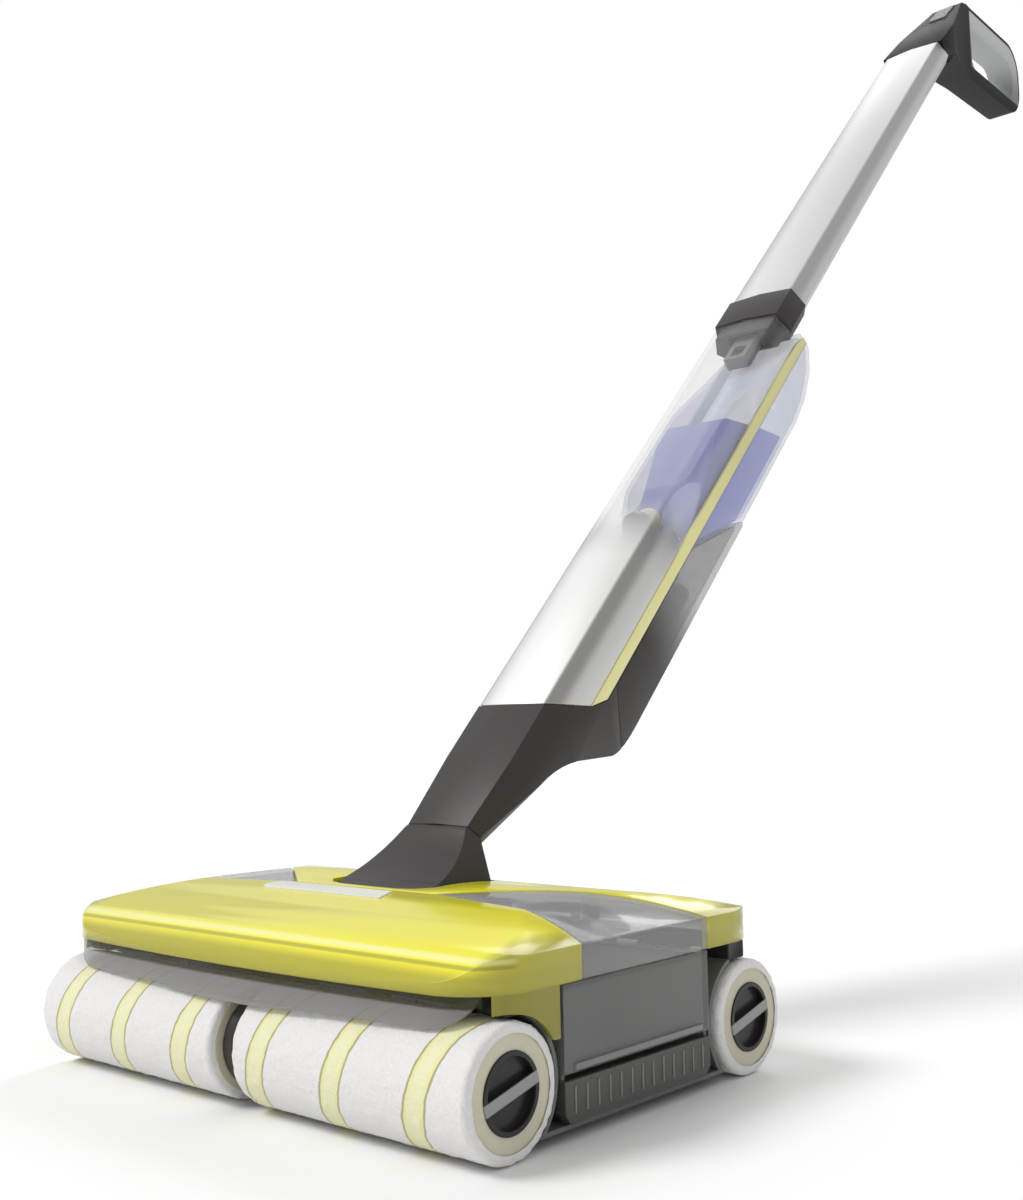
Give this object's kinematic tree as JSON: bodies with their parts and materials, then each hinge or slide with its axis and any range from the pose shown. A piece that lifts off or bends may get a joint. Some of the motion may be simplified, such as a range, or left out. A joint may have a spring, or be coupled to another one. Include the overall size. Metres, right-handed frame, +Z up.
{
  "type": "wet dry floor scrubber",
  "caption": "Cordless upright floor scrubber with front and rear driven rollers under a crowned head, a leaning stick with a water tank, and a hand loop.",
  "frame": {"origin": "on the floor under the middle of the head, midway between the two roller axles and 5 mm below the tray's flat underside", "axes": "+Z is up, X runs along the rollers, -Y is the front edge of the head, and the stick leans back towards +Y, so +X is on the right hand of someone who stands in front and looks along +Y"},
  "size_m": [0.306, 1.0048, 0.8597],
  "materials": {
    "yellow": "gloss",
    "charcoal": "satin",
    "dark": "satin",
    "silver": "satin",
    "tube": "satin",
    "steel": "polished",
    "fleece": "deep pile",
    "core": "satin",
    "clear": "clear",
    "smoke": "smoked",
    "blue": "gloss",
    "white": "satin",
    "cream": "satin",
    "rubber": "matte",
    "nylon": "satin",
    "bronze": "satin",
    "grey": "satin",
    "board": "satin",
    "cell": "satin"
  },
  "bodies": {
    "head": {"base_tray": "charcoal", "gear_case_left": "charcoal", "gear_case_right": "charcoal", "case_screws": "steel", "shaft_bushes": "bronze", "idler_pins": "steel", "drive_motor": "grey", "front_cover": "yellow", "rear_cover": "yellow", "side_windows": "clear", "splash_guards": "clear", "front_water_bar": "blue", "rear_water_bar": "blue", "spray_combs": "white", "water_hoses": "rubber", "wringer_strips": "rubber", "ankle_cradle": "charcoal", "hinge_pin": "steel"},
    "front_axle": {"front_drive": "steel"},
    "rear_axle": {"rear_drive": "steel"},
    "pinion": {"motor_pinion": "bronze"},
    "idler_gear_1": {"idler_1": "nylon"},
    "idler_gear_2": {"idler_2": "nylon"},
    "idler_gear_3": {"idler_3": "nylon"},
    "idler_gear_4": {"idler_4": "nylon"},
    "front_left_roller": {"front_left_core": "core", "front_left_sleeve": "fleece", "front_left_cap": "dark"},
    "front_right_roller": {"front_right_core": "core", "front_right_sleeve": "fleece", "front_right_cap": "dark"},
    "rear_left_roller": {"rear_left_core": "core", "rear_left_sleeve": "fleece", "rear_left_cap": "dark"},
    "rear_right_roller": {"rear_right_core": "core", "rear_right_sleeve": "fleece", "rear_right_cap": "dark"},
    "left_drawer": {"left_waste_tank": "smoke", "left_waste_lid": "smoke"},
    "right_drawer": {"right_waste_tank": "smoke", "right_waste_lid": "smoke"},
    "ankle": {"boot": "charcoal", "swivel_clip": "steel"},
    "stick": {"neck": "charcoal", "front_shell": "silver", "trim_bands": "cream", "rear_housing": "charcoal", "battery_pack": "cell", "control_board": "board", "water_pump": "dark", "stick_hoses": "rubber", "valve_seat": "grey", "charging_socket": "dark", "collar": "charcoal", "upper_tube": "tube", "handle": "dark"},
    "fresh_tank": {"water_tank": "clear"},
    "tank_lid": {"tank_cap": "nylon"},
    "latch": {"tank_latch": "grey"},
    "button": {"power_button": "grey"}
  },
  "joints": [
    {"name": "front_spin", "type": "hinge", "parent": "head", "child": "front_axle", "pos_m": [0, -0.0875, 0.028], "axis": [1, 0, 0], "continuous": true},
    {"name": "rear_spin", "type": "hinge", "parent": "head", "child": "rear_axle", "pos_m": [0, 0.0875, 0.028], "axis": [1, 0, 0], "continuous": true},
    {"name": "idler_1_spin", "type": "hinge", "parent": "head", "child": "idler_gear_1", "pos_m": [0, -0.0525, 0.028], "axis": [1, 0, 0], "continuous": true},
    {"name": "idler_2_spin", "type": "hinge", "parent": "head", "child": "idler_gear_2", "pos_m": [0, -0.0175, 0.028], "axis": [1, 0, 0], "continuous": true},
    {"name": "idler_3_spin", "type": "hinge", "parent": "head", "child": "idler_gear_3", "pos_m": [0, 0.0175, 0.028], "axis": [1, 0, 0], "continuous": true},
    {"name": "idler_4_spin", "type": "hinge", "parent": "head", "child": "idler_gear_4", "pos_m": [0, 0.0525, 0.028], "axis": [1, 0, 0], "continuous": true},
    {"name": "pinion_spin", "type": "hinge", "parent": "head", "child": "pinion", "pos_m": [0, -0.04603, 0.05215], "axis": [1, 0, 0], "continuous": true},
    {"name": "front_left_pull", "type": "slide", "parent": "front_axle", "child": "front_left_roller", "axis": [-1, 0, 0], "range_m": [0, 0.055]},
    {"name": "front_right_pull", "type": "slide", "parent": "front_axle", "child": "front_right_roller", "axis": [1, 0, 0], "range_m": [0, 0.055]},
    {"name": "rear_left_pull", "type": "slide", "parent": "rear_axle", "child": "rear_left_roller", "axis": [-1, 0, 0], "range_m": [0, 0.055]},
    {"name": "rear_right_pull", "type": "slide", "parent": "rear_axle", "child": "rear_right_roller", "axis": [1, 0, 0], "range_m": [0, 0.055]},
    {"name": "left_drawer_slide", "type": "slide", "parent": "head", "child": "left_drawer", "axis": [-1, 0, 0], "range_m": [0, 0.1]},
    {"name": "right_drawer_slide", "type": "slide", "parent": "head", "child": "right_drawer", "axis": [1, 0, 0], "range_m": [0, 0.1]},
    {"name": "lean", "type": "hinge", "parent": "head", "child": "ankle", "pos_m": [0, 0.008, 0.084], "axis": [1, 0, 0], "range_deg": [-8, 43.74]},
    {"name": "swivel", "type": "hinge", "parent": "ankle", "child": "stick", "pos_m": [0, 0.00583, 0.08607], "axis": [0, 0.6914, 0.7225], "range_deg": [-30, 30]},
    {"name": "tank_lift", "type": "slide", "parent": "stick", "child": "fresh_tank", "axis": [0, 0.9452, 0.3266], "range_m": [0, 0.07]},
    {"name": "cap_turn", "type": "hinge", "parent": "fresh_tank", "child": "tank_lid", "pos_m": [0, 0.23337, 0.30432], "axis": [0, 0.9452, 0.3266], "range_deg": [0, 90]},
    {"name": "latch_swing", "type": "hinge", "parent": "stick", "child": "latch", "pos_m": [0, 0.35962, 0.44926], "axis": [-1, 0, 0], "range_deg": [0, 8], "stiffness_Nm_per_rad": 0.2},
    {"name": "button_press", "type": "slide", "parent": "stick", "child": "button", "axis": [0, 0.7071, -0.7071], "range_m": [0, 0.0015], "stiffness_N_per_m": 600}
  ],
  "couplings": [
    {"joint": "rear_spin", "follows": "front_spin", "ratio": -1},
    {"joint": "idler_1_spin", "follows": "front_spin", "ratio": -1},
    {"joint": "idler_2_spin", "follows": "front_spin", "ratio": 1},
    {"joint": "idler_3_spin", "follows": "front_spin", "ratio": -1},
    {"joint": "idler_4_spin", "follows": "front_spin", "ratio": 1},
    {"joint": "pinion_spin", "follows": "front_spin", "ratio": 2.3333}
  ]
}
